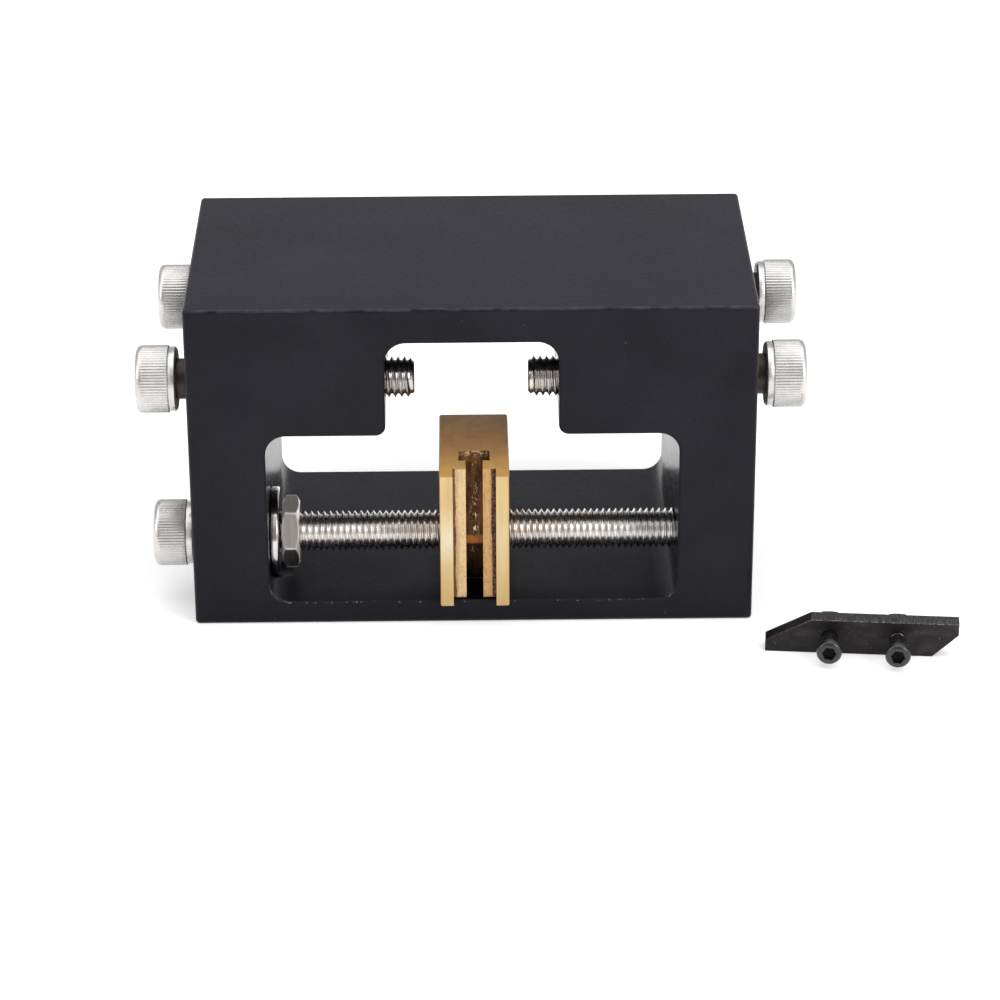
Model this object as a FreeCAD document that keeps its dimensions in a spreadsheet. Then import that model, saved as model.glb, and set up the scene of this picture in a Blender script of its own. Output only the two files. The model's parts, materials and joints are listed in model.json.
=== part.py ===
import FreeCAD, Part
import math
import os
import Sketcher

# Bench pusher press: a slotted block with four clamp screws, and a brass pusher block driven
# along the lower window by a lead screw. A small two-screw blade lies in front of it.
# Row frame: +X to the right, +Y to the back, +Z up, origin at the middle of the block's base.
# All sizes in mm.

V = FreeCAD.Vector

DIMENSIONS = {
    # frame block
    "block_width": 111.0, "block_depth": 61.0, "block_height": 67.7, "block_round": 0.8,
    "window_width": 81.0, "window_floor": 4.8, "window_top": 40.9, "window_round": 4.0,
    "notch_width": 33.8, "notch_top": 60.4, "notch_round": 4.2, "lip_round": 2.0,
    "window_bevel": 0.35, "bore_bevel": 0.5,
    "spot_face": 18.6, "spot_depth": 0.2, "spot_reach": 4.0,
    # M8 and M3 socket head screws
    "big_major": 8.0, "big_minor": 6.65, "big_pitch": 1.25, "big_bore": 8.16,
    "big_head": 13.3, "big_band": 12.7, "big_head_height": 8.0, "big_band_height": 1.3,
    "big_head_round": 1.0, "big_socket": 6.0, "big_socket_depth": 4.2, "big_drill": 5.6,
    "big_drill_depth": 0.9, "big_tip": 0.9,
    "small_major": 3.0, "small_minor": 2.45, "small_pitch": 0.5, "small_bore": 3.16,
    "small_head": 5.0, "small_band": 4.85, "small_head_height": 1.8, "small_band_height": 0.4,
    "small_head_round": 0.4, "small_socket": 2.5, "small_socket_depth": 1.1, "small_drill": 2.3,
    "small_drill_depth": 0.3, "small_tip": 0.3,
    # screw lengths under the head, and how many turns of thread each one carries
    "clamp_length": 46.4, "clamp_turns": 34.0,
    "lead_length": 110.0, "lead_turns": 73.0,
    "blade_screw_length": 12.0, "blade_screw_turns": 22.0,
    # where the screws sit
    "clamp_offset": 21.0, "clamp_level": 49.4,
    "front_left_gap": 2.15, "front_right_gap": 1.95, "rear_left_gap": 0.6, "rear_right_gap": 3.4,
    "lead_offset": 16.9, "lead_level": 13.9,
    # washer and nuts
    "washer_od": 18.0, "washer_thick": 1.8, "washer_bore": 8.4, "washer_bevel": 0.3,
    "jam_nut_flats": 12.6, "jam_nut_thick": 3.5, "jam_nut_gap": 0.5, "jam_nut_tilt": 34.3,
    "end_play": 0.35,
    "blade_nut_flats": 5.5, "blade_nut_thick": 2.4, "nut_crown": 0.955,
    # pusher
    "pusher_width": 13.8, "pusher_depth": 29.5, "pusher_height": 28.4, "pusher_drop": 9.0,
    "pusher_front": 16.2, "pusher_shift": 0.3, "pusher_bevel": 0.25,
    "channel_width": 8.5, "channel_depth": 3.6, "stem_width": 3.35, "stem_depth": 3.9,
    "tee_width": 6.1, "tee_depth": 4.5,
    # blade, lying on its long edge
    "blade_length": 37.7, "blade_height": 7.25, "blade_thick": 3.6, "blade_bevel": 0.15,
    "blade_foot": 32.7, "blade_nose": 4.8, "blade_heel": 8.9, "blade_heel_height": 2.5,
    "blade_hole_left": 12.5, "blade_hole_right": 25.8, "blade_hole_level": 3.5,
    "blade_turn": 5.5, "blade_x": 57.1, "blade_y": 44.1, "left_reach": 5.15, "right_reach": 5.6,
}


class Size:
    """A number together with the spreadsheet expression that gives it."""

    def __init__(self, value, text):
        self.value = value
        self.text = text

    def __add__(self, other):
        return combine(self, "+", other)

    def __radd__(self, other):
        return combine(as_size(other), "+", self)

    def __sub__(self, other):
        return combine(self, "-", other)

    def __rsub__(self, other):
        return combine(as_size(other), "-", self)

    def __mul__(self, other):
        return combine(self, "*", other)

    def __truediv__(self, other):
        return combine(self, "/", other)

    def __neg__(self):
        return combine(as_size(0.0), "-", self)


def as_size(item):
    return item if isinstance(item, Size) else Size(float(item), repr(float(item)))


def combine(left, sign, right):
    left, right = as_size(left), as_size(right)
    if sign == "+":
        value = left.value + right.value
    elif sign == "-":
        value = left.value - right.value
    elif sign == "*":
        value = left.value * right.value
    else:
        value = left.value / right.value
    return Size(value, "(%s %s %s)" % (left.text, sign, right.text))


doc = FreeCAD.newDocument("pusher_press")
sheet = doc.addObject("Spreadsheet::Sheet", "dims")
for row, (name, number) in enumerate(DIMENSIONS.items(), start=1):
    sheet.set("A%d" % row, name)
    sheet.set("B%d" % row, str(number))
    sheet.setAlias("B%d" % row, name)
doc.recompute()
D = {name: Size(number, "dims." + name) for name, number in DIMENSIONS.items()}


# ---------------------------------------------------------------- sketches and features

def new_body(name):
    body = doc.addObject("PartDesign::Body", name)
    body.Label = name
    return body


def new_sketch(body, name, plane, offset=None):
    """A sketch on one of the body's origin planes, moved along the plane's normal by offset."""
    sketch = body.newObject("Sketcher::SketchObject", "%s_%s" % (body.Name, name))
    support = next(item for item in body.Origin.OriginFeatures if item.Role == plane)
    sketch.AttachmentSupport = (support, "")
    sketch.MapMode = "FlatFace"
    if offset is not None:
        sketch.setExpression(".AttachmentOffset.Base.z", offset.text)
    return sketch


def bind(sketch, constraint, size, name):
    index = sketch.addConstraint(constraint)
    sketch.renameConstraint(index, name)
    sketch.setExpression("Constraints." + name, size.text)


def pin(sketch, geometry, point, place):
    """Hold one sketch point at the given place, each coordinate driven by its expression."""
    for kind, axis, letter, size in (("DistanceX", -2, "x", place[0]), ("DistanceY", -1, "y", place[1])):
        size = as_size(size)
        label = "p%d_%d_%s" % (geometry, point, letter)
        if abs(size.value) < 1e-9:
            sketch.addConstraint(Sketcher.Constraint("PointOnObject", geometry, point, axis))
        elif size.value > 0:
            bind(sketch, Sketcher.Constraint(kind, -1, 1, geometry, point, size.value), size, label)
        else:
            bind(sketch, Sketcher.Constraint(kind, geometry, point, -1, 1, -size.value), -size, label)


def polygon(sketch, places):
    """A closed outline through the places."""
    points = [V(as_size(x).value, as_size(y).value, 0) for x, y in places]
    count = len(points)
    first = len(sketch.Geometry)
    for i in range(count):
        sketch.addGeometry(Part.LineSegment(points[i], points[(i + 1) % count]), False)
    for i in range(count):
        follower = first + (i + 1) % count
        sketch.addConstraint(Sketcher.Constraint("Coincident", first + i, 2, follower, 1))
        pin(sketch, first + i, 1, places[i])


def circle(sketch, centre, radius):
    middle = V(as_size(centre[0]).value, as_size(centre[1]).value, 0)
    index = sketch.addGeometry(Part.Circle(middle, V(0, 0, 1), radius.value), False)
    bind(sketch, Sketcher.Constraint("Radius", index, radius.value), radius, "r%d" % index)
    pin(sketch, index, 3, centre)


def hexagon(sketch, flats, turn=0.0):
    """A regular hexagon about the sketch origin; turn is in degrees."""
    corner = flats / math.sqrt(3.0)
    places = []
    for i in range(6):
        angle = math.radians(turn + 60.0 * i)
        places.append((corner * round(math.cos(angle), 12), corner * round(math.sin(angle), 12)))
    polygon(sketch, places)


def pad(body, name, sketch, length, reverse=False):
    feature = body.newObject("PartDesign::Pad", "%s_%s" % (body.Name, name))
    feature.Profile = sketch
    feature.Reversed = reverse
    feature.setExpression("Length", length.text)
    return finish(body, feature)


def pocket(body, name, sketch, depth=None, reverse=False):
    """A pocket of the given depth, or through everything in both directions."""
    feature = body.newObject("PartDesign::Pocket", "%s_%s" % (body.Name, name))
    feature.Profile = sketch
    feature.Reversed = reverse
    if depth is None:
        feature.Type = "ThroughAll"
        feature.Midplane = True
    else:
        feature.setExpression("Length", depth.text)
    return finish(body, feature)


def groove(body, name, sketch):
    """A cut turned once round the body's Z axis."""
    feature = body.newObject("PartDesign::Groove", "%s_%s" % (body.Name, name))
    feature.Profile = sketch
    feature.ReferenceAxis = (sketch, ["V_Axis"])
    feature.Angle = 360.0
    return finish(body, feature)


def dress(body, kind, name, size, wanted):
    """Round ("Fillet") or bevel ("Chamfer") the tip's edges that pass the wanted test."""
    base = body.Tip
    names = ["Edge%d" % (i + 1) for i, edge in enumerate(base.Shape.Edges) if wanted(edge)]
    if not names:
        raise ValueError("no edges found for %s of %s" % (name, body.Name))
    feature = body.newObject("PartDesign::" + kind, "%s_%s" % (body.Name, name))
    feature.Base = (base, names)
    feature.setExpression("Radius" if kind == "Fillet" else "Size", size.text)
    return finish(body, feature)


def finish(body, feature):
    body.Tip = feature
    doc.recompute()
    return feature


# ---------------------------------------------------------------- edge tests

def along_y(edge, x, z):
    """True for a straight edge parallel to Y that passes through x, z."""
    ends = [vertex.Point for vertex in edge.Vertexes]
    return len(ends) == 2 and all(abs(p.x - x) < 1e-4 and abs(p.z - z) < 1e-4 for p in ends)


def is_circle(edge, radius):
    if edge.Degenerated or not isinstance(edge.Curve, Part.Circle):
        return False
    return abs(edge.Curve.Radius - radius) < 1e-4


def box_of(edge):
    return edge.BoundBox


# ---------------------------------------------------------------- sub-parts

def make_frame_block():
    body = new_body("frame_block")
    half, deep = D["block_width"] / 2, D["block_depth"] / 2
    outline = new_sketch(body, "outline", "XY_Plane")
    polygon(outline, [(-half, -deep), (half, -deep), (half, deep), (-half, deep)])
    pad(body, "solid", outline, D["block_height"])
    dress(body, "Fillet", "outer_round", D["block_round"], lambda edge: True)

    wide, narrow = D["window_width"] / 2, D["notch_width"] / 2
    floor, shelf, roof = D["window_floor"], D["window_top"], D["notch_top"]
    tee = new_sketch(body, "tee", "XZ_Plane")
    polygon(tee, [(-wide, floor), (wide, floor), (wide, shelf), (narrow, shelf),
                  (narrow, roof), (-narrow, roof), (-narrow, shelf), (-wide, shelf)])
    pocket(body, "window", tee)
    for name, radius, corners in (
            ("window_round", "window_round", ((wide, floor), (wide, shelf))),
            ("notch_round", "notch_round", ((narrow, roof),)),
            ("lip_round", "lip_round", ((narrow, shelf),))):
        spots = [(side * x.value, z.value) for x, z in corners for side in (-1, 1)]
        dress(body, "Fillet", name, D[radius],
              lambda edge, spots=spots: any(along_y(edge, x, z) for x, z in spots))

    inside = wide.value + 0.1
    dress(body, "Chamfer", "window_bevel", D["window_bevel"],
          lambda edge: box_of(edge).YLength < 1e-4 and abs(abs(box_of(edge).YMin) - deep.value) < 1e-4
          and max(abs(box_of(edge).XMin), abs(box_of(edge).XMax)) < inside
          and box_of(edge).ZMin > floor.value - 0.1 and box_of(edge).ZMax < roof.value + 0.1)

    # seat for the washer, cut into the left wall and through the window's rounded corner
    seat = new_sketch(body, "seat", "YZ_Plane", -wide + D["spot_reach"])
    circle(seat, (-D["lead_offset"], D["lead_level"]), D["spot_face"] / 2)
    pocket(body, "spot_face", seat, D["spot_reach"] + D["spot_depth"])

    bores = new_sketch(body, "bores", "YZ_Plane")
    for y in (-D["clamp_offset"], D["clamp_offset"]):
        circle(bores, (y, D["clamp_level"]), D["big_bore"] / 2)
    circle(bores, (-D["lead_offset"], D["lead_level"]), D["big_bore"] / 2)
    pocket(body, "screw_bores", bores)
    dress(body, "Chamfer", "bore_bevel", D["bore_bevel"],
          lambda edge: is_circle(edge, D["big_bore"].value / 2)
          and abs(abs(edge.Curve.Center.x) - half.value) < 1e-4)
    return body


def make_screw(name, size, length, turns):
    """A socket head cap screw along Z: shank to +Z from the underside of the head at Z = 0."""
    body = new_body(name)
    part = {key[len(size) + 1:]: item for key, item in D.items() if key.startswith(size + "_")}
    shank = new_sketch(body, "shank", "XY_Plane")
    circle(shank, (0, 0), part["major"] / 2)
    pad(body, "shank_solid", shank, length)
    dress(body, "Chamfer", "tip_bevel", part["tip"],
          lambda edge: is_circle(edge, part["major"].value / 2)
          and abs(edge.Curve.Center.z - length.value) < 1e-4)

    cut = new_sketch(body, "tooth", "XZ_Plane")
    crest, root = part["major"] / 2 + 0.05, part["minor"] / 2
    start = length - part["tip"] - part["pitch"] / 2
    polygon(cut, [(root, start - part["pitch"] * 0.07), (crest, start - part["pitch"] * 0.47),
                  (crest, start + part["pitch"] * 0.47), (root, start + part["pitch"] * 0.07)])
    ring = groove(body, "thread_ring", cut)
    rows = body.newObject("PartDesign::LinearPattern", name + "_thread")
    rows.Originals = [ring]
    rows.Direction = (cut, ["V_Axis"])
    rows.Reversed = True
    rows.setExpression("Length", (part["pitch"] * (turns - 1)).text)
    rows.setExpression("Occurrences", turns.text)
    finish(body, rows)

    band = new_sketch(body, "band", "XY_Plane")
    circle(band, (0, 0), part["band"] / 2)
    pad(body, "head_band", band, part["band_height"], reverse=True)
    crown = new_sketch(body, "crown", "XY_Plane", -part["band_height"])
    circle(crown, (0, 0), part["head"] / 2)
    pad(body, "head_crown", crown, part["head_height"] - part["band_height"], reverse=True)
    dress(body, "Fillet", "head_round", part["head_round"],
          lambda edge: is_circle(edge, part["head"].value / 2)
          and abs(edge.Curve.Center.z + part["head_height"].value) < 1e-4)

    socket = new_sketch(body, "socket", "XY_Plane", -part["head_height"])
    hexagon(socket, part["socket"])
    pocket(body, "hex_socket", socket, part["socket_depth"], reverse=True)
    drill = new_sketch(body, "drill", "XZ_Plane")
    seat = part["socket_depth"] - part["head_height"]
    polygon(drill, [(0, seat), (part["drill"] / 2, seat), (0, seat + part["drill_depth"])])
    groove(body, "drill_point", drill)
    return body


def make_washer(name):
    """A flat washer from Z = 0 up, with both outer rims bevelled."""
    body = new_body(name)
    outer = D["washer_od"]
    rings = new_sketch(body, "rings", "XY_Plane")
    circle(rings, (0, 0), outer / 2)
    circle(rings, (0, 0), D["washer_bore"] / 2)
    pad(body, "disc", rings, D["washer_thick"])
    dress(body, "Chamfer", "rim", D["washer_bevel"], lambda edge: is_circle(edge, outer.value / 2))
    return body


def make_nut(name, flats, thick, bore, turn):
    """A hexagon nut from Z = 0 up, its corners turned off to a crown at both faces."""
    body = new_body(name)
    outline = new_sketch(body, "outline", "XY_Plane")
    hexagon(outline, flats, turn)
    circle(outline, (0, 0), bore / 2)
    pad(body, "solid", outline, thick)
    crown, corner = flats / 2 * D["nut_crown"], flats * 0.6
    fall = (corner - crown) * math.tan(math.radians(30.0))
    for label, face, way in (("low", as_size(0), 1), ("high", thick, -1)):
        corners = new_sketch(body, label + "_corners", "XZ_Plane")
        polygon(corners, [(crown, face), (corner, face), (corner, face + fall * way)])
        groove(body, label + "_crown", corners)
    return body


def make_pusher():
    """The pusher, with its origin where the lead screw's axis crosses its middle plane."""
    body = new_body("pusher")
    side, groove_side = D["pusher_width"] / 2, D["channel_width"] / 2
    stem, tee = D["stem_width"] / 2, D["tee_width"] / 2
    front = -D["pusher_front"]
    rear = front + D["pusher_depth"]
    channel = front + D["channel_depth"]
    lip = channel + D["stem_depth"]
    back = lip + D["tee_depth"]
    left = [(-side, rear), (-side, front), (-groove_side, front), (-groove_side, channel),
            (-stem, channel), (-stem, lip), (-tee, lip), (-tee, back)]
    right = [(-x, y) for x, y in reversed(left)]
    outline = new_sketch(body, "outline", "XY_Plane", -D["pusher_drop"])
    polygon(outline, left + right)
    pad(body, "solid", outline, D["pusher_height"])
    bore = new_sketch(body, "bore", "YZ_Plane")
    circle(bore, (0, 0), D["big_bore"] / 2)
    pocket(body, "screw_bore", bore)
    reach = side.value
    dress(body, "Chamfer", "outer_bevel", D["pusher_bevel"],
          lambda edge: box_of(edge).XLength < 1e-4 and abs(abs(box_of(edge).XMin) - reach) < 1e-4
          and not isinstance(edge.Curve, Part.Circle))
    return body


def make_blade():
    """The blade, with its origin at the left end of its long edge, on its front face."""
    body = new_body("blade")
    outline = new_sketch(body, "outline", "XZ_Plane")
    polygon(outline, [(0, 0), (D["blade_foot"], 0), (D["blade_length"], D["blade_nose"]),
                      (D["blade_length"], D["blade_height"]), (D["blade_heel"], D["blade_height"]),
                      (0, D["blade_heel_height"])])
    pad(body, "solid", outline, D["blade_thick"], reverse=True)
    dress(body, "Chamfer", "edge_bevel", D["blade_bevel"], lambda edge: box_of(edge).YLength < 1e-4)
    holes = new_sketch(body, "holes", "XZ_Plane")
    for x in (D["blade_hole_left"], D["blade_hole_right"]):
        circle(holes, (x, D["blade_hole_level"]), D["small_bore"] / 2)
    pocket(body, "screw_holes", holes)
    return body


# ---------------------------------------------------------------- placing

def place(body, position, rotation):
    body.Placement = FreeCAD.Placement(V(*[as_size(item).value for item in position]), rotation)
    for axis, item in zip("xyz", position):
        body.setExpression(".Placement.Base." + axis, as_size(item).text)
    doc.recompute()


UPRIGHT = FreeCAD.Rotation()
TO_RIGHT = FreeCAD.Rotation(V(0, 1, 0), 90)
TO_LEFT = FreeCAD.Rotation(V(0, 1, 0), -90)


def build_frame_and_clamps():
    half = D["block_width"] / 2
    place(make_frame_block(), (0, 0, 0), UPRIGHT)
    for label, side, depth in (("front_left", -1, -1), ("rear_left", -1, 1),
                               ("front_right", 1, -1), ("rear_right", 1, 1)):
        screw = make_screw("clamp_screw_" + label, "big", D["clamp_length"], D["clamp_turns"])
        position = ((half + D[label + "_gap"]) * side, D["clamp_offset"] * depth, D["clamp_level"])
        place(screw, position, TO_RIGHT if side < 0 else TO_LEFT)


def build_lead_screw():
    """Head against the block's left face, washer and jam nut inside the left wall."""
    y, z = -D["lead_offset"], D["lead_level"]
    face, wall = -D["block_width"] / 2, -D["window_width"] / 2
    stations = (
        (make_screw("lead_screw", "big", D["lead_length"], D["lead_turns"]), face - D["end_play"]),
        (make_washer("lead_washer"), wall),
        (make_nut("lead_jam_nut", D["jam_nut_flats"], D["jam_nut_thick"], D["big_bore"],
                  DIMENSIONS["jam_nut_tilt"]),
         wall + D["washer_thick"] + D["jam_nut_gap"]),
    )
    for body, x in stations:
        place(body, (x, y, z), TO_RIGHT)
    place(make_pusher(), (D["pusher_shift"], y, z), UPRIGHT)


def build_blade():
    """The blade stands on its long edge, its screw heads towards the front and nuts behind."""
    turn = FreeCAD.Rotation(V(0, 0, 1), -DIMENSIONS["blade_turn"])
    corner = V(DIMENSIONS["blade_x"], -DIMENSIONS["blade_y"], 0)
    place(make_blade(), (D["blade_x"], -D["blade_y"], 0), turn)
    for label in ("left", "right"):
        along, level = DIMENSIONS["blade_hole_" + label], DIMENSIONS["blade_hole_level"]
        screw = make_screw("blade_screw_" + label, "small", D["blade_screw_length"],
                           D["blade_screw_turns"])
        nut = make_nut("blade_nut_" + label, D["blade_nut_flats"], D["blade_nut_thick"],
                       D["small_bore"], 0.0)
        to_back = turn.multiply(FreeCAD.Rotation(V(1, 0, 0), -90))
        for body, depth in ((screw, -DIMENSIONS[label + "_reach"]),
                            (nut, DIMENSIONS["blade_thick"])):
            body.Placement = FreeCAD.Placement(corner + turn.multVec(V(along, depth, level)), to_back)


# ---------------------------------------------------------------- checks and export

def export_all():
    for item in doc.Objects:
        if "Invalid" in item.State or "Error" in item.State:
            raise RuntimeError("%s is not valid: %s" % (item.Name, item.State))
    bodies = [item for item in doc.Objects if item.TypeId == "PartDesign::Body"]
    os.makedirs("parts", exist_ok=True)
    for body in bodies:
        shape = body.Shape
        if shape.isNull() or not shape.isValid() or len(shape.Solids) != 1:
            raise RuntimeError("%s has no single valid solid" % body.Label)
        shape.exportStep("parts/%s.step" % body.Label)
        box = shape.BoundBox
        print("%-24s %9.1f mm3  x %.2f..%.2f  y %.2f..%.2f  z %.2f..%.2f" % (
            body.Label, shape.Volume, box.XMin, box.XMax, box.YMin, box.YMax, box.ZMin, box.ZMax))


build_frame_and_clamps()
build_lead_screw()
build_blade()
doc.recompute()
export_all()
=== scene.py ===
import json
import math

import bmesh
import bpy
from mathutils import Matrix, Vector


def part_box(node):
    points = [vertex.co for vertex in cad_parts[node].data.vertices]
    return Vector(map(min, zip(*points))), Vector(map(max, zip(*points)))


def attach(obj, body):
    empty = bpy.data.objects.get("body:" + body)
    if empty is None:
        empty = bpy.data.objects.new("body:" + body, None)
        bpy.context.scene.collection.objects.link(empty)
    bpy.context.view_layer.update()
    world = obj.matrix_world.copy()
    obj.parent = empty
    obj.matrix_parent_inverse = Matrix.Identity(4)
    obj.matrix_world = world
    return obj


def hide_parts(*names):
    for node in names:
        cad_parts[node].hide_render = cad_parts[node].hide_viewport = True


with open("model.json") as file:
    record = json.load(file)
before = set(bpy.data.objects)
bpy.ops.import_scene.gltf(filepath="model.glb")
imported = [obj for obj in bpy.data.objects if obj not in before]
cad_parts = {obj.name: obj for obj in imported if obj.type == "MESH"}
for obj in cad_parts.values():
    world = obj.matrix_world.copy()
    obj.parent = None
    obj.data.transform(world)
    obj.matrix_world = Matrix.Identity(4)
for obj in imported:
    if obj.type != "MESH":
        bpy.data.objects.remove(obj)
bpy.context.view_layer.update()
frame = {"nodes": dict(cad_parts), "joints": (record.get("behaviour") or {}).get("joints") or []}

MM = 0.001


# ---------------------------------------------------------------- places on the object, in millimetres

def box_mm(node):
    low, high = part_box(node)
    return low / MM, high / MM


def joint_named(name):
    return next(joint for joint in frame["joints"] if joint["name"] == name)


BLOCK_LOW, BLOCK_HIGH = box_mm("frame_block")
PUSHER_LOW, PUSHER_HIGH = box_mm("pusher")
LEAD = Vector(joint_named("lead_screw_turn")["pos_m"]) / MM

WINDOW_HALF = 40.5      # half the width of the window through the block
WINDOW_FLOOR = 4.8      # height of the window's lower wall
CHANNEL_HALF = 4.25     # half the width of the channel down the pusher's front
CHANNEL_DEPTH = 3.6     # from the pusher's front to the ribs at the bottom of the channel
JAM_NUT_TILT = 34.3     # degrees that the jam nut's flats are turned
BLADE_TURN = 5.5        # degrees between the blade and the front of the block
BLADE_MIDDLE = 76.0     # where the middle of the blade lies along X

# Plain shank under each head before the thread starts.
CLAMP_PLAIN, LEAD_PLAIN, BLADE_PLAIN = 3.4, 1.0, 5.0


# ---------------------------------------------------------------- colours, linear

def grey(value):
    return (value, value, value, 1.0)


COAT = {"deep": (0.0023, 0.0021, 0.0033, 1), "faded": (0.0040, 0.0038, 0.0052, 1),
        "rubbed": (0.028, 0.028, 0.032, 1), "dust": grey(0.10), "chip": grey(0.13),
        "side_shine": (0.68, 0.66, 0.79, 1), "top_shine": (0.52, 0.52, 1.0, 1),
        "edge_shine": (0.78, 0.77, 0.82, 1)}

# The turned colour serves the turned chamfers and the painted highlight on the nut's corners.
NUT = {"flat": (0.50, 0.455, 0.43, 1), "drawn": (0.62, 0.57, 0.54, 1), "turned": (0.80, 0.78, 0.76, 1)}

GOLD = {"cheek": (0.600, 0.455, 0.235, 1), "streak": (0.545, 0.395, 0.185, 1), "foot": (0.46, 0.30, 0.125, 1),
        "cheek_painted_highlight": (0.69, 0.62, 0.48, 1), "cloud": (0.52, 0.365, 0.170, 1), "edge": (0.34, 0.15, 0.05, 1),
        "pit": (0.16, 0.09, 0.04, 1)}
RIB = {"plain": (0.65, 0.43, 0.21, 1), "sawn": (0.41, 0.215, 0.075, 1), "grit": (0.36, 0.170, 0.065, 1),
       "pale": (0.64, 0.51, 0.31, 1), "left": (0.80, 0.66, 0.40, 1), "right": (0.34, 0.14, 0.012, 1),
       # Below: near-black and brown for the channel's walls, then two browns for a strip along the left wall.
       "wall_black": (0.028, 0.020, 0.020, 1), "faint_wall_tone": (0.20, 0.105, 0.065, 1),
       "left_edge_brown": (0.22, 0.095, 0.045, 1), "left_edge_dark": (0.12, 0.055, 0.030, 1)}
BROWN = {"front": (1.0, 0.57, 0.155, 1), "middle": (0.86, 0.41, 0.120, 1), "back": (0.50, 0.315, 0.145, 1),
         "dull": (0.30, 0.19, 0.105, 1)}
# The T slot's inside: painted shade in deep, stain, black and arm, painted highlights in band and foot, and
# one colour for scratches and a painted highlight along the top of the back wall.
SLOT = {"deep": (0.060, 0.026, 0.010, 1), "stain": (0.19, 0.090, 0.036, 1), "black": (0.010, 0.006, 0.004, 1),
        "band": (0.56, 0.20, 0.055, 1), "arm": (0.34, 0.135, 0.050, 1), "scratch": (0.95, 0.68, 0.42, 1),
        "foot": (0.75, 0.66, 0.48, 1)}

OXIDE_STEEL = {"deep": (0.0052, 0.0042, 0.0046, 1), "faded": (0.0125, 0.0105, 0.0115, 1),
               "mark": (0.085, 0.080, 0.078, 1), "scuff": grey(0.12), "smudge": (0.034, 0.033, 0.037, 1),
               "worn": (0.30, 0.27, 0.22, 1), "shine": (1.0, 0.95, 0.99, 1)}
OXIDE_SCREW = {"deep": (0.005, 0.005, 0.006, 1), "faded": (0.010, 0.010, 0.012, 1),
               "shine": (0.92, 0.92, 0.96, 1)}


# ---------------------------------------------------------------- node material helpers

class Shader:
    """Short calls for building one node tree."""

    def __init__(self, tree):
        self.tree = tree
        tree.nodes.clear()

    def node(self, kind, inputs=None, **settings):
        node = self.tree.nodes.new(kind)
        for name, value in settings.items():
            setattr(node, name, value)
        for name, value in (inputs or {}).items():
            self.feed(node.inputs[name], value)
        return node

    def feed(self, socket, value):
        if isinstance(value, bpy.types.NodeSocket):
            self.tree.links.new(value, socket)
        else:
            socket.default_value = value

    def place(self, stretch=(1, 1, 1)):
        """Coordinates in millimetres in the row frame, divided by stretch along each axis."""
        source = self.node("ShaderNodeTexCoord").outputs["Object"]
        scale = tuple(1.0 / MM / part for part in stretch)
        return self.node("ShaderNodeMapping", {"Vector": source, "Scale": scale}).outputs[0]

    def noise(self, scale, detail=3.0, stretch=(1, 1, 1), distortion=0.0):
        """Noise about 1/scale millimetres across."""
        node = self.node("ShaderNodeTexNoise", {
            "Vector": self.place(stretch), "Scale": scale, "Detail": detail,
            "Roughness": 0.55, "Distortion": distortion})
        return node.outputs["Fac"]

    def specks(self, scale):
        """Distance from scattered points, for dust, pits and nicks."""
        node = self.node("ShaderNodeTexVoronoi", {"Vector": self.place(), "Scale": scale})
        return node.outputs["Distance"]

    def ramp(self, value, low, high, to_low=0.0, to_high=1.0):
        node = self.node("ShaderNodeMapRange", {
            "Value": value, "From Min": low, "From Max": high, "To Min": to_low, "To Max": to_high})
        return node.outputs[0]

    def fade(self, value, low, high):
        """1 up to low, falling to 0 at high."""
        return self.ramp(value, low, high, 1.0, 0.0)

    def between(self, value, low, high, soft=0.05):
        """1 from low to high and 0 outside, with soft ends."""
        return self.times(self.ramp(value, low - soft, low), self.fade(value, high, high + soft))

    def math(self, kind, a, b=0.0):
        node = self.node("ShaderNodeMath", operation=kind)
        self.feed(node.inputs[0], a)
        self.feed(node.inputs[1], b)
        return node.outputs[0]

    def times(self, first, *others):
        product = first
        for other in others:
            product = self.math("MULTIPLY", product, other)
        return product

    def plus(self, a, b):
        return self.math("ADD", a, b)

    def minus(self, a, b):
        return self.math("SUBTRACT", a, b)

    def magnitude(self, value):
        return self.math("ABSOLUTE", value)

    def mix(self, factor, a, b):
        node = self.node("ShaderNodeMix", data_type="RGBA")
        for socket, value in zip((node.inputs[0], node.inputs[6], node.inputs[7]), (factor, a, b)):
            self.feed(socket, value)
        return node.outputs[2]

    def bump(self, height, distance, strength, normal=None):
        """A bumped normal; the distance is in millimetres."""
        inputs = {"Height": height, "Distance": distance * MM, "Strength": strength}
        if normal is not None:
            inputs["Normal"] = normal
        return self.node("ShaderNodeBump", inputs).outputs[0]

    def axis(self, name):
        """One coordinate of the row frame, in millimetres."""
        split = self.node("ShaderNodeSeparateXYZ", {"Vector": self.place()})
        return split.outputs[name]

    def facing(self, name):
        """One component of the surface's own normal, in object space."""
        source = self.node("ShaderNodeTexCoord").outputs["Normal"]
        return self.node("ShaderNodeSeparateXYZ", {"Vector": source}).outputs[name]

    def surface(self, **inputs):
        named = {key.replace("_", " "): value for key, value in inputs.items()}
        shader = self.node("ShaderNodeBsdfPrincipled", named)
        output = self.node("ShaderNodeOutputMaterial")
        self.tree.links.new(shader.outputs[0], output.inputs[0])


def material(name):
    made = bpy.data.materials.new(name)
    made.use_nodes = True
    return made, Shader(made.node_tree)


# ---------------------------------------------------------------- black coating of the block

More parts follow.
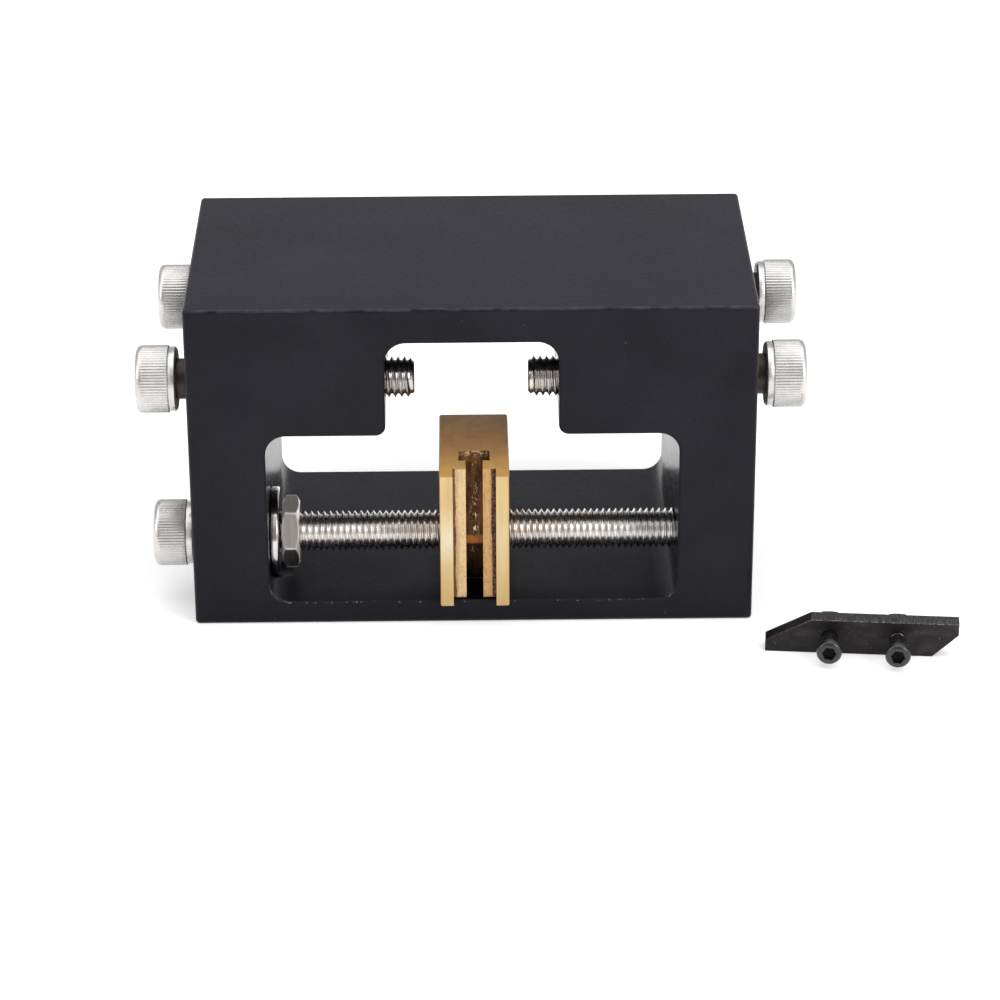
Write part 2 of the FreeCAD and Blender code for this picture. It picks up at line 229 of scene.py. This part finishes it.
def anodised_black():
    """Matt black coating on aluminium: fine grain, sparse dust, rubbed outer edges, chipped window rim,
    painted shade and reflection in its shine.
    """
    made, s = material("anodised_black")
    top, front = BLOCK_HIGH.z, BLOCK_LOW.y
    low_down = s.fade(s.axis("Z"), WINDOW_FLOOR + 3.2, WINDOW_FLOOR + 4.2)
    in_window = s.fade(s.magnitude(s.axis("X")), WINDOW_HALF + 0.7, WINDOW_HALF + 0.9)
    sloping = s.ramp(s.magnitude(s.times(s.facing("Y"), s.facing("Z"))), 0.15, 0.40)

    base = s.mix(s.ramp(s.noise(0.05, 4.0, distortion=0.8), 0.35, 0.7), COAT["deep"], COAT["faded"])
    dust = s.times(s.fade(s.specks(0.30), 0.020, 0.045), s.ramp(s.noise(0.07), 0.45, 0.60))
    base = s.mix(s.times(dust, 0.8), base, COAT["dust"])
    rubbed = s.times(sloping, s.ramp(s.axis("Z"), top - 1.1, top - 0.6),
                     s.ramp(s.noise(0.8, 5.0, stretch=(2.5, 1, 1)), 0.35, 0.62))
    base = s.mix(rubbed, base, COAT["rubbed"])

    rim = s.times(s.fade(s.axis("Y"), front + 0.05, front + 0.40), in_window, low_down,
                  s.ramp(s.axis("Z"), WINDOW_FLOOR - 0.55, WINDOW_FLOOR - 0.40),
                  s.fade(s.magnitude(s.facing("Y")), 0.90, 0.97))
    sparse = s.ramp(s.axis("X"), 2.5 - WINDOW_HALF, 6.5 - WINDOW_HALF, 0.52, 0.62)
    flecks = s.math("GREATER_THAN", s.noise(1.3, 6.0), sparse)
    base = s.mix(s.times(rim, flecks, 0.85), base, COAT["chip"])

    jamb = s.times(s.ramp(s.magnitude(s.facing("X")), 0.7, 0.9), in_window)
    rough = s.minus(s.ramp(s.noise(0.9, 5.0), 0.3, 0.7, 0.36, 0.44), s.times(jamb, 0.15))
    # Painted shade and reflection in the shine: weaker on the window floor towards the front, stronger on the
    # upper window jambs, weaker low down.
    sill_painted_shade = s.times(s.ramp(s.facing("Z"), 0.7, 0.9), low_down, s.ramp(s.axis("Y"), -30.0, 5.0, 0.10, 0.0))
    jamb_painted_reflection = s.times(jamb, s.ramp(s.axis("Z"), 16.0, 32.0), 0.31)
    shine = s.times(s.minus(s.plus(0.32, jamb_painted_reflection), sill_painted_shade),
                    s.ramp(s.axis("Z"), 0.0, 14.0, 0.80, 1.0),
                    s.ramp(s.facing("Z"), 0.5, 0.8, 1.0, 1.06),
                    s.ramp(s.noise(1.6, 6.0), 0.3, 0.7, 0.90, 1.10),
                    s.ramp(s.noise(0.045, 3.0, distortion=0.6), 0.35, 0.65, 0.93, 1.10))
    tint = s.mix(s.ramp(s.facing("Z"), 0.5, 0.8), COAT["side_shine"], COAT["top_shine"])
    tint = s.mix(sloping, tint, COAT["edge_shine"])
    s.surface(Base_Color=base, Roughness=rough, IOR=1.45, Specular_IOR_Level=shine,
              Specular_Tint=tint, Normal=s.bump(s.noise(12.0, 2.0), 0.005, 0.3))
    return made


# ---------------------------------------------------------------- steels

def stainless(name, red, green, blue, low, high, metal=1.0):
    """Slightly stained steel, with its roughness wandering from low to high."""
    made, s = material(name)
    stain = s.ramp(s.noise(0.35, 4.0), 0.40, 0.75)
    base = s.mix(stain, (red, green, blue, 1.0), (0.80 * red, 0.80 * green, 0.80 * blue, 1.0))
    rough = s.ramp(s.noise(1.2, 3.0), 0.3, 0.7, low, high)
    s.surface(Base_Color=base, Metallic=metal, Roughness=rough)
    return made


def nut_steel():
    """Duller steel with fine drawing marks, bright on the turned chamfers, and a painted highlight along the
    corners of the flats.
    """
    made, s = material("nut_steel")
    drawn = s.ramp(s.noise(1.4, 4.0, stretch=(1, 8, 8)), 0.3, 0.7)
    flat = s.mix(drawn, NUT["flat"], NUT["drawn"])
    tilt = s.magnitude(s.facing("X"))
    turned = s.times(s.ramp(tilt, 0.25, 0.45), s.fade(tilt, 0.93, 0.97))
    # Painted highlight: thin bright lines along the corners between the flats, in the turned colour.
    angle = s.math("ARCTAN2", s.minus(s.axis("Z"), LEAD.z), s.minus(s.axis("Y"), LEAD.y))
    corner = s.math("COSINE", s.times(s.minus(angle, math.radians(JAM_NUT_TILT)), 6.0))
    bright = s.math("MAXIMUM", turned, s.fade(corner, -0.985, -0.955))
    metal = s.minus(s.ramp(s.facing("Z"), 0.6, 0.9, 1.0, 0.55), s.times(bright, 0.45))
    s.surface(Base_Color=s.mix(bright, flat, NUT["turned"]), Metallic=metal,
              Roughness=s.ramp(bright, 0.0, 1.0, 0.36, 0.22))
    return made


def milled_black():
    """Black oxide blade: cutter marks across it, edges worn to a cream shine, a few scratches, and a painted
    sheen growing towards the right end.
    """
    made, s = material("milled_black_steel")
    cloud = s.ramp(s.noise(0.30, 5.0, distortion=0.7), 0.38, 0.70)
    base = s.mix(cloud, OXIDE_STEEL["deep"], OXIDE_STEEL["faded"])
    along = s.node("ShaderNodeMapping", {"Vector": s.place(), "Rotation": (0, 0, math.radians(BLADE_TURN))})
    narrow = s.node("ShaderNodeMapping", {"Vector": along.outputs[0], "Scale": (1, 0.06, 0.06)})
    cutter = s.node("ShaderNodeTexNoise", {"Vector": narrow.outputs[0], "Scale": 4.6, "Detail": 1.5})
    ticks = cutter.outputs["Fac"]
    top = s.ramp(s.facing("Z"), 0.93, 0.97)
    base = s.mix(s.times(s.ramp(ticks, 0.48, 0.60), top, 0.55), base, OXIDE_STEEL["mark"])
    scuff = s.ramp(s.noise(0.9, 6.0, distortion=1.6), 0.66, 0.70)
    base = s.mix(s.times(scuff, 0.5), base, OXIDE_STEEL["scuff"])
    smudge = s.ramp(s.noise(0.45, 5.0, stretch=(2.5, 1, 1)), 0.52, 0.68)
    base = s.mix(s.times(smudge, s.ramp(top, 0.0, 1.0, 0.5, 0.1)), base, OXIDE_STEEL["smudge"])

    tilt = s.magnitude(s.facing("Y"))
    border = s.times(s.ramp(tilt, 0.25, 0.45), s.fade(tilt, 0.90, 0.96))
    ends = s.ramp(s.magnitude(s.minus(s.axis("X"), BLADE_MIDDLE)), 10.2, 10.6)
    outer = s.math("MAXIMUM", s.ramp(s.axis("Z"), 5.5, 5.8), ends)
    rub = s.times(border, outer, s.ramp(s.noise(3.0, 6.0), 0.42, 0.60),
                  s.ramp(s.axis("X"), 64.0, 66.5, 0.35, 1.0))
    base = s.mix(s.times(rub, 0.55), base, OXIDE_STEEL["worn"])
    dust = s.times(s.fade(s.specks(0.9), 0.05, 0.10), s.ramp(s.noise(0.4), 0.50, 0.60))
    base = s.mix(s.times(dust, 0.7), base, OXIDE_STEEL["worn"])

    rough = s.ramp(s.noise(1.2, 4.0), 0.3, 0.7, 0.34, 0.50)
    # Painted sheen: the reflection grows stronger towards the right end.
    shine = s.times(s.ramp(s.facing("Z"), 0.90, 0.97, 0.27, 0.33), s.ramp(s.axis("X"), 80.0, 93.0, 1.0, 1.25))
    s.surface(Base_Color=base, Metallic=0.1, Roughness=rough, IOR=1.45,
              Specular_IOR_Level=shine, Specular_Tint=OXIDE_STEEL["shine"],
              Normal=s.bump(ticks, 0.02, 0.4))
    return made


def black_oxide():
    """Even, slightly glossy black of the small screws and nuts."""
    made, s = material("black_oxide")
    base = s.mix(s.ramp(s.noise(0.9, 4.0), 0.4, 0.7), OXIDE_SCREW["deep"], OXIDE_SCREW["faded"])
    rough = s.ramp(s.noise(2.0, 3.0), 0.3, 0.7, 0.24, 0.32)
    s.surface(Base_Color=base, Roughness=rough, IOR=1.6, Specular_Tint=OXIDE_SCREW["shine"])
    return made


def shadowed():
    """Painted shade inside a hexagon socket: dull, nearly black."""
    made, s = material("socket_painted_shade")
    base = s.mix(s.ramp(s.noise(1.5, 4.0), 0.4, 0.7), grey(0.004), grey(0.010))
    s.surface(Base_Color=base, Roughness=0.6, Specular_IOR_Level=0.12)
    return made


# ---------------------------------------------------------------- brass of the pusher

# Here side is the distance to the right of the pusher's middle, across is the same without its sign,
# depth is Y and level is the height above the bench, all in millimetres.

def brass_cheeks(s, side, level):
    """Pale gold with upright streaks, a painted highlight at mid height on the left, deeper near the bottom.
    """
    streak = s.ramp(s.noise(1.1, 4.0, stretch=(1, 1, 16)), 0.35, 0.70)
    base = s.mix(streak, GOLD["cheek"], GOLD["streak"])
    base = s.mix(s.ramp(level, 6.0, 14.0, 0.5, 0.0), base, GOLD["foot"])
    # Painted highlight on the cheeks at mid height, mostly on the left.
    cheek_painted_highlight = s.times(s.ramp(level, 13.5, 18.0), s.fade(level, 20.0, 27.0), s.ramp(side, -2.0, 2.0, 1.0, 0.25))
    base = s.mix(s.times(cheek_painted_highlight, 0.65), base, GOLD["cheek_painted_highlight"])
    cloud = s.ramp(s.noise(0.13, 3.0), 0.45, 0.75)
    return s.mix(s.times(cloud, 0.5), base, GOLD["cloud"])


def brass_wall_tone(s):
    """Patchy near-black on the channel's walls."""
    return s.mix(s.ramp(s.noise(2.2, 4.0), 0.42, 0.66), RIB["wall_black"], RIB["faint_wall_tone"])


def brass_ribs(s, side, across, wall_black):
    """Sawn ribs at the bottom of the channel: gritty, redder on the right, dark along both walls."""
    grit = s.ramp(s.noise(3.2, 4.0, stretch=(1, 1, 1.4)), 0.46, 0.62)
    sawn = s.ramp(s.noise(0.8, 4.0, stretch=(1, 1, 12)), 0.45, 0.65)
    worn = s.mix(s.times(sawn, 0.75), RIB["plain"], RIB["sawn"])
    worn = s.mix(s.times(grit, 0.65), worn, RIB["grit"])
    pale = s.ramp(s.noise(1.5, 4.0, stretch=(1, 1, 5)), 0.35, 0.65)
    worn = s.mix(s.times(s.between(across, 2.1, 2.9, 0.4), pale, 0.60), worn, RIB["pale"])
    worn = s.mix(s.ramp(side, -1.0, 1.0, 0.28, 0.0), worn, RIB["left"])
    worn = s.mix(s.ramp(side, -1.0, 1.0, 0.0, 0.40), worn, RIB["right"])
    # A dark speckled strip along the right wall and a brown strip along the left wall.
    ragged = s.plus(side, s.times(s.minus(s.noise(0.5, 4.0, stretch=(1, 1, 2)), 0.5), 0.9))
    worn = s.mix(s.ramp(ragged, CHANNEL_HALF - 0.95, CHANNEL_HALF - 0.75), worn, wall_black)
    left_edge_brown = s.mix(grit, RIB["left_edge_brown"], RIB["left_edge_dark"])
    return s.mix(s.fade(ragged, 0.45 - CHANNEL_HALF, 0.60 - CHANNEL_HALF), worn, left_edge_brown)


def brass_top(s, depth):
    """Brown top face, orange at the front and greyer towards the back."""
    waver = s.plus(depth, s.times(s.noise(0.12, 3.0), 6.0))
    brown = s.mix(s.ramp(waver, -27.0, -12.0), BROWN["front"], BROWN["middle"])
    brown = s.mix(s.ramp(waver, -12.0, 0.0), brown, BROWN["back"])
    dull = s.ramp(s.noise(0.25, 5.0), 0.40, 0.75, 0.0, 0.25)
    return s.mix(dull, brown, BROWN["dull"])


def brass_slot(s, side, level, scratch):
    """T slot darkened by painted shade: bright scratches, a painted highlight along the lip, one red-brown
    band that is a painted highlight, black below it, a pale painted highlight at the foot.
    """
    # Painted shade over the whole inside of the slot, blackest low down.
    stain = s.ramp(s.noise(0.8, 5.0, stretch=(1, 1, 4)), 0.35, 0.70)
    dark = s.mix(stain, SLOT["deep"], SLOT["stain"])
    dark = s.mix(s.ramp(level, 12.6, 13.0, 0.65, 0.0), dark, SLOT["black"])
    # Painted highlight: a red-brown band where the bore's edge catches light.
    dark = s.mix(s.times(s.between(level, 13.2, 14.4, 0.5), 0.75), dark, SLOT["band"])
    arm = s.times(s.ramp(level, 30.6, 31.4), s.ramp(side, -1.6, -0.6, 0.75, 0.0))
    dark = s.mix(arm, dark, SLOT["arm"])
    # Painted highlight: ragged bright spots along the top of the back wall, in the scratch colour.
    lip = s.times(s.ramp(level, 31.8, 33.0), s.ramp(s.noise(2.2, 5.0), 0.47, 0.56), 0.75)
    dark = s.mix(s.math("MAXIMUM", scratch, lip), dark, SLOT["scratch"])
    # Painted highlight: a pale line along the bottom edge.
    return s.mix(s.fade(level, PUSHER_LOW.z + 0.15, PUSHER_LOW.z + 0.25), dark, SLOT["foot"])


def brass():
    """Sawn brass: pale gold cheeks with a painted highlight, speckled ribs, brown top and a scratched slot
    darkened by painted shade.
    """
    made, s = material("brass")
    middle = (PUSHER_LOW.x + PUSHER_HIGH.x) / 2
    half_width = (PUSHER_HIGH.x - PUSHER_LOW.x) / 2
    rib_face = PUSHER_LOW.y + CHANNEL_DEPTH
    side = s.minus(s.axis("X"), middle)
    across = s.magnitude(side)
    depth, level = s.axis("Y"), s.axis("Z")
    up = s.ramp(s.facing("Z"), 0.4, 0.6)
    upright = s.minus(1.0, up)

    wall_black = brass_wall_tone(s)
    ribs = s.times(s.between(across, 1.5, CHANNEL_HALF + 0.05),
                   s.between(depth, rib_face - 0.25, rib_face + 0.30))
    base = s.mix(ribs, brass_cheeks(s, side, level), brass_ribs(s, side, across, wall_black))
    base = s.mix(up, base, brass_top(s, depth))
    # Darker patchy tone on the channel's walls.
    walls = s.times(s.between(across, CHANNEL_HALF - 0.20, CHANNEL_HALF + 0.15), upright,
                    s.ramp(s.magnitude(s.facing("X")), 0.6, 0.8))
    base = s.mix(walls, base, wall_black)

    # Inside the T slot: painted shade and painted highlights, over real scratches.
    inside = s.times(s.between(across, -1.0, 3.25), s.between(depth, rib_face + 0.08, rib_face + 8.6),
                     upright)
    crossed = s.ramp(s.noise(0.85, 6.0, stretch=(0.6, 1, 1.6), distortion=2.2), 0.52, 0.57)
    scratch = s.times(crossed, s.fade(across, 0.35, 1.10), s.ramp(s.noise(0.22, 2.0), 0.42, 0.48),
                      s.ramp(level, 10.8, 12.0))
    base = s.mix(inside, base, brass_slot(s, side, level, scratch))

    edge = s.times(s.ramp(across, half_width - 0.24, half_width - 0.10), 0.8)
    base = s.mix(edge, base, GOLD["edge"])
    pits = s.times(s.fade(s.specks(0.8), 0.04, 0.09), s.ramp(s.noise(0.35), 0.52, 0.62))
    base = s.mix(s.times(pits, 0.7), base, GOLD["pit"])

    rough = s.ramp(s.noise(0.8, 4.0, stretch=(1, 1, 6)), 0.3, 0.7, 0.34, 0.46)
    lines = s.bump(s.noise(4.0, 3.0, stretch=(1, 1, 30)), 0.012, 0.4)
    grain = s.bump(s.times(ribs, s.noise(3.2, 3.0)), 0.06, 0.6, lines)
    relief = s.bump(s.plus(scratch, s.noise(0.7, 3.0)), 0.10, s.times(inside, 0.7), grain)
    s.surface(Base_Color=base, Metallic=s.ramp(up, 0.0, 1.0, 1.0, 0.55), Roughness=rough, Normal=relief)
    return made


# ---------------------------------------------------------------- mesh helpers

WELD = 1e-5     # millimetres; points nearer than this are one point


def weld(built):
    bmesh.ops.remove_doubles(built, verts=built.verts, dist=WELD)
    bmesh.ops.dissolve_degenerate(built, edges=built.edges, dist=WELD)


def finish_mesh(name, built, matrix, skins):
    """Turn a bmesh in millimetres into a smooth object in the row frame."""
    weld(built)
    bmesh.ops.recalc_face_normals(built, faces=built.faces)
    bmesh.ops.transform(built, matrix=Matrix.Scale(MM, 4), verts=built.verts)
    bmesh.ops.transform(built, matrix=matrix, verts=built.verts)
    mesh = bpy.data.meshes.new(name)
    built.to_mesh(mesh)
    built.free()
    mesh.shade_smooth()
    mesh.set_sharp_from_angle(angle=math.radians(34.0))
    for skin in skins:
        mesh.materials.append(skin)
    piece = bpy.data.objects.new(name, mesh)
    bpy.context.scene.collection.objects.link(piece)
    return piece


def bridge(built, lower, upper, skin=0):
    count = len(lower)
    for i in range(count):
        j = (i + 1) % count
        built.faces.new((lower[i], lower[j], upper[j], upper[i])).material_index = skin


def ring(built, radii, z):
    turn = 2 * math.pi / len(radii)
    return [built.verts.new((r * math.cos(turn * i), r * math.sin(turn * i), z))
            for i, r in enumerate(radii)]


def soften(node, width):
    """A small bevel, in millimetres, on a CAD node's sharp edges."""
    join = frame["nodes"][node].modifiers.new("join", "WELD")
    join.merge_threshold = 0.001 * MM
    bevel = frame["nodes"][node].modifiers.new("soften", "BEVEL")
    bevel.width = width * MM
    bevel.segments = 2
    bevel.limit_method = "ANGLE"
    bevel.angle_limit = math.radians(32.0)
    bevel.harden_normals = False


def paint(node, skin):
    piece = frame["nodes"][node]
    piece.data.materials.clear()
    piece.data.materials.append(skin)


# ---------------------------------------------------------------- screws

# Sizes of the two kinds of socket head screw, in millimetres; grooves is the count round the knurl.
BIG = {"major": 8.0, "minor": 6.62, "pitch": 1.25, "tip": 0.9, "shank": 8.0, "head": 13.3, "band": 12.7,
       "height": 8.0, "band_height": 1.5, "round": 1.15, "bevel": 0.15, "socket": 6.0, "depth": 4.2,
       "grooves": 66, "knurl": 0.078}
SMALL = {"major": 3.0, "minor": 2.43, "pitch": 0.5, "tip": 0.3, "shank": 3.0, "head": 5.0, "band": 4.85,
         "height": 1.8, "band_height": 0.4, "round": 0.80, "bevel": 0.1, "socket": 2.5, "depth": 1.1,
         "grooves": 36, "knurl": 0.0}

# One pitch of thread: place along the pitch, and height from root (0) to crest (1).
THREAD = ((0.0, -0.03), (0.08, 0.02), (0.430, 0.95), (0.465, 1.0), (0.535, 1.0), (0.570, 0.95), (0.92, 0.02))
STEPS = 32      # points in one turn of thread

# Places in a screw's list of materials.
HEAD_SKIN, SHANK_SKIN, SOCKET_SKIN, THREAD_SKIN = 0, 1, 2, 3


def add_thread(built, size, start, end):
    """A right-hand helical thread about Z from start to end, ending in a bevelled tip."""
    root, crest, pitch = size["minor"] / 2, size["major"] / 2, size["pitch"]
    total = (int(math.ceil((end - start) / pitch)) + 2) * STEPS
    lines = []
    for i in range(total + 1):
        angle = 2 * math.pi * i / STEPS
        line = []
        for along, height in THREAD:
            z = start - pitch + pitch * (i / STEPS + along)
            r = root + (crest - root) * height
            grown = max(0.0, min(1.0, (z - start) / pitch))
            r = crest + (r - crest) * grown
            r = min(r, crest - size["tip"] + max(0.0, end - z))
            line.append(built.verts.new((r * math.cos(angle), r * math.sin(angle), min(max(z, start), end))))
        lines.append(line)
    for i in range(total):
        for j in range(len(THREAD) - 1):
            corners = (lines[i][j], lines[i + 1][j], lines[i + 1][j + 1], lines[i][j + 1])
            built.faces.new(corners).material_index = THREAD_SKIN
        if i + 1 + STEPS <= total:
            corners = (lines[i][-1], lines[i + 1][-1], lines[i + 1 + STEPS][0], lines[i + STEPS][0])
            built.faces.new(corners).material_index = THREAD_SKIN
    weld(built)


def fill_tip(built, end):
    """Close the open circle at the tip with a dull face in the shank's material, which on the big screws is
    steel darkened as painted shade.
    """
    rim = [edge for edge in built.edges if edge.is_boundary
           and all(abs(vert.co.z - end) < 1e-4 for vert in edge.verts)]
    if rim:
        for face in bmesh.ops.holes_fill(built, edges=rim, sides=0)["faces"]:
            face.material_index = SHANK_SKIN


def add_head(built, size):
    """A socket head below Z = 0: band, knurled crown, rounded rim, hexagon socket."""
    count = size["grooves"] * 4
    groove = (0.0, -0.12, -1.0, -0.12)
    knurl = [size["knurl"] * groove[i % 4] for i in range(count)]
    smooth = [0.0] * count
    crown, band, height = size["head"] / 2, size["band"] / 2, size["height"]
    shoulder = size["band_height"]
    soft, bevel = size["round"], size["bevel"]
    # Each row is a radius, a height along the axis, and how far each point is cut in by the knurl.
    rows = [(size["shank"] / 2, 0.0, smooth), (band - 0.35 * soft, 0.0, smooth),
            (band, -0.3 * soft, smooth), (band, -shoulder + 0.10, smooth),
            (band - 0.06, -shoulder, smooth), (band + 0.02, -shoulder - 0.04, smooth),
            (crown - 0.03, -shoulder - bevel, knurl), (crown, -shoulder - bevel - 0.08, knurl),
            (crown, -height + soft * 1.15, knurl), (crown, -height + soft, [0.5 * k for k in knurl])]
    for step in range(1, 7):
        angle = math.radians(15 * step)
        rows.append((crown - soft * (1 - math.cos(angle)), -height + soft * (1 - math.sin(angle)),
                     [0.2 * k for k in knurl] if step == 1 else smooth))
    flats, corner = size["socket"] / 2, math.pi / 6
    rows.append((flats / math.cos(corner) + 0.12, -height, smooth))
    rings = [ring(built, [radius + k for k in cut], z) for radius, z, cut in rows]

    hexagon = []
    for i in range(count):
        angle = (2 * math.pi * i / count) % (2 * corner)
        hexagon.append(flats / math.cos(angle - corner))
    rings.append(ring(built, hexagon, -height + size["socket"] * 0.03))
    floor = -height + size["depth"]
    rings.append(ring(built, hexagon, floor))
    rings.append(ring(built, [flats * 0.93] * count, floor + 0.01))
    rings.append(ring(built, [flats * 0.06] * count, floor + flats * 0.3))
    for index, (lower, upper) in enumerate(zip(rings, rings[1:])):
        # The underside takes the shank's material and the socket its own; on the big screws both are steel
        # darkened as painted shade, on the small screws the socket is painted shade.
        skin = SHANK_SKIN if index == 0 else SOCKET_SKIN if index > len(rows) else HEAD_SKIN
        bridge(built, lower, upper, skin)
    built.faces.new(rings[-1]).material_index = SOCKET_SKIN


def make_screw(node, body, size, length, plain, matrix, skins):
    """A detailed screw in place of a CAD screw; it carries on the CAD screw's own length."""
    built = bmesh.new()
    add_thread(built, size, plain, length)
    fill_tip(built, length)
    shank = [size["shank"] / 2] * STEPS
    bridge(built, ring(built, shank, 0.0), ring(built, shank, plain), SHANK_SKIN)
    add_head(built, size)
    piece = finish_mesh(node + "_detail", built, matrix, skins)
    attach(piece, body)
    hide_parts(node)


def make_cross_screw(node, body, head_side, plain, thread):
    """A big screw along X with its head towards -X (head_side 1) or +X (head_side -1)."""
    low, high = box_mm(node)
    height = BIG["height"]
    middle = (low + high) / 2
    turn = Matrix.Rotation(math.radians(90 * head_side), 4, "Y")
    under_head = low.x + height if head_side > 0 else high.x - height
    matrix = Matrix.Translation(Vector((under_head, middle.y, middle.z)) * MM) @ turn
    # The shank, the head's underside, the socket and the tip face take steel darkened as painted shade.
    make_screw(node, body, BIG, high.x - low.x - height, plain, matrix, (STEEL, SHADE_STEEL, SHADE_STEEL, thread))


def make_blade_screw(node):
    """A small screw on the axis of its own joint."""
    joint = joint_named(node + "_turn")
    axis, foot = Vector(joint["axis"]).normalized(), Vector(joint["pos_m"])
    along = [(vert.co - foot).dot(axis) for vert in frame["nodes"][node].data.vertices]
    start = foot + axis * (min(along) + SMALL["height"] * MM)
    length = (max(along) - min(along)) / MM - SMALL["height"]
    turn = Vector((0, 0, 1)).rotation_difference(axis).to_matrix().to_4x4()
    # The socket takes the painted-shade socket material.
    make_screw(node, node, SMALL, length, BLADE_PLAIN, Matrix.Translation(start) @ turn,
               (OXIDE, OXIDE, SOCKET, OXIDE))


# ---------------------------------------------------------------- the object

STEEL = stainless("stainless_steel", 0.60, 0.580, 0.566, 0.25, 0.33, 0.88)
BRIGHT = stainless("bright_thread", 0.80, 0.775, 0.75, 0.22, 0.28)
DULL = stainless("dull_thread", 0.60, 0.57, 0.55, 0.15, 0.21)
# Steel darkened as painted shade, for the big screws' shanks, head undersides, sockets and tip faces.
SHADE_STEEL = stainless("steel_painted_shade", 0.060, 0.050, 0.045, 0.35, 0.50)
OXIDE = black_oxide()
SOCKET = shadowed()

paint("frame_block", anodised_black())
paint("pusher", brass())
paint("lead_washer", stainless("polished_steel", 0.66, 0.64, 0.62, 0.12, 0.20))
paint("lead_jam_nut", nut_steel())
paint("blade", milled_black())
for side in ("left", "right"):
    paint("blade_nut_" + side, OXIDE)
    soften("blade_nut_" + side, 0.08)
soften("lead_jam_nut", 0.10)
soften("lead_washer", 0.10)
soften("pusher", 0.12)
soften("blade", 0.08)

for head_side, side in ((1, "left"), (-1, "right")):
    for row in ("front_", "rear_"):
        make_cross_screw("clamp_screw_" + row + side, "clamp_" + row + side, head_side, CLAMP_PLAIN, DULL)
make_cross_screw("lead_screw", "lead_screw", 1, LEAD_PLAIN, BRIGHT)
for side in ("left", "right"):
    make_blade_screw("blade_screw_" + side)


# ---------------------------------------------------------------- stage, light and camera

LENS = 130.89                                       # millimetres, on a sensor 36 mm wide
CAMERA_PLACE = (-1.405, -674.359, 336.744)          # millimetres
CAMERA_YAW, CAMERA_PITCH, CAMERA_ROLL = 0.01048, 0.44848, -0.00483      # radians

# Name, place, target, width and height in metres, and power in watts.
LIGHTS = (("overhead", (0.0, 0.1, 0.9), (0, 0, 0), 1.4, 1.1, 5.8),
          ("left", (-0.8, -0.35, 0.5), (0, 0, 0.03), 0.5, 0.6, 2.4),
          ("right", (0.72, -0.55, 0.46), (0, 0, 0.03), 0.5, 0.6, 5.0))


def make_floor():
    bpy.ops.mesh.primitive_plane_add(size=6.0, location=(0, 0, 0))
    floor = bpy.context.object
    floor.name = "floor"
    made, s = material("floor_white")
    s.surface(Base_Color=grey(0.88), Roughness=0.9, Specular_IOR_Level=0.0,
              Emission_Color=grey(1.0), Emission_Strength=0.24)
    floor.data.materials.append(made)


def make_light(name, place, target, width, height, power):
    data = bpy.data.lights.new(name, "AREA")
    data.shape = "RECTANGLE"
    data.size, data.size_y, data.energy = width, height, power
    lamp = bpy.data.objects.new(name, data)
    bpy.context.scene.collection.objects.link(lamp)
    lamp.location = place
    lamp.rotation_euler = (Vector(target) - Vector(place)).to_track_quat("-Z", "Y").to_euler()


def make_world():
    """Pale studio all round, greyer in a round patch in front and low down behind."""
    world = bpy.data.worlds.new("studio")
    bpy.context.scene.world = world
    world.use_nodes = True
    s = Shader(world.node_tree)
    view = s.node("ShaderNodeTexCoord").outputs["Generated"]
    ahead = s.node("ShaderNodeVectorMath", operation="DOT_PRODUCT")
    s.feed(ahead.inputs[0], view)
    s.feed(ahead.inputs[1], (0.0, -0.944, 0.330))
    patch = s.ramp(ahead.outputs["Value"], math.cos(math.radians(26)), math.cos(math.radians(13)))
    level = s.node("ShaderNodeSeparateXYZ", {"Vector": view})
    behind = s.times(s.ramp(level.outputs["Y"], 0.2, 0.6), s.fade(level.outputs["Z"], 0.55, 0.85), 0.30)
    sky = s.mix(patch, s.mix(behind, grey(1.0), grey(0.0)), grey(0.40))
    back = s.node("ShaderNodeBackground", {"Color": sky, "Strength": 0.80})
    output = s.node("ShaderNodeOutputWorld")
    s.tree.links.new(back.outputs[0], output.inputs[0])


def make_camera():
    """Looks down at the front from slightly left of the middle."""
    data = bpy.data.cameras.new("camera")
    data.sensor_width, data.lens, data.clip_end = 36.0, LENS, 20.0
    camera = bpy.data.objects.new("camera", data)
    bpy.context.scene.collection.objects.link(camera)
    yaw, pitch, roll = CAMERA_YAW, CAMERA_PITCH, CAMERA_ROLL
    ahead = Vector((math.sin(yaw) * math.cos(pitch), math.cos(yaw) * math.cos(pitch), -math.sin(pitch)))
    across = Vector((math.cos(yaw), -math.sin(yaw), 0.0))
    above = across.cross(ahead)
    right = across * math.cos(roll) + above * math.sin(roll)
    up = above * math.cos(roll) - across * math.sin(roll)
    turn = Matrix((right, up, -ahead)).transposed().to_4x4()
    camera.matrix_world = Matrix.Translation(Vector(CAMERA_PLACE) * MM) @ turn
    bpy.context.scene.camera = camera


make_floor()
make_world()
for light in LIGHTS:
    make_light(*light)
make_camera()
bpy.context.scene.view_settings.view_transform = "Standard"
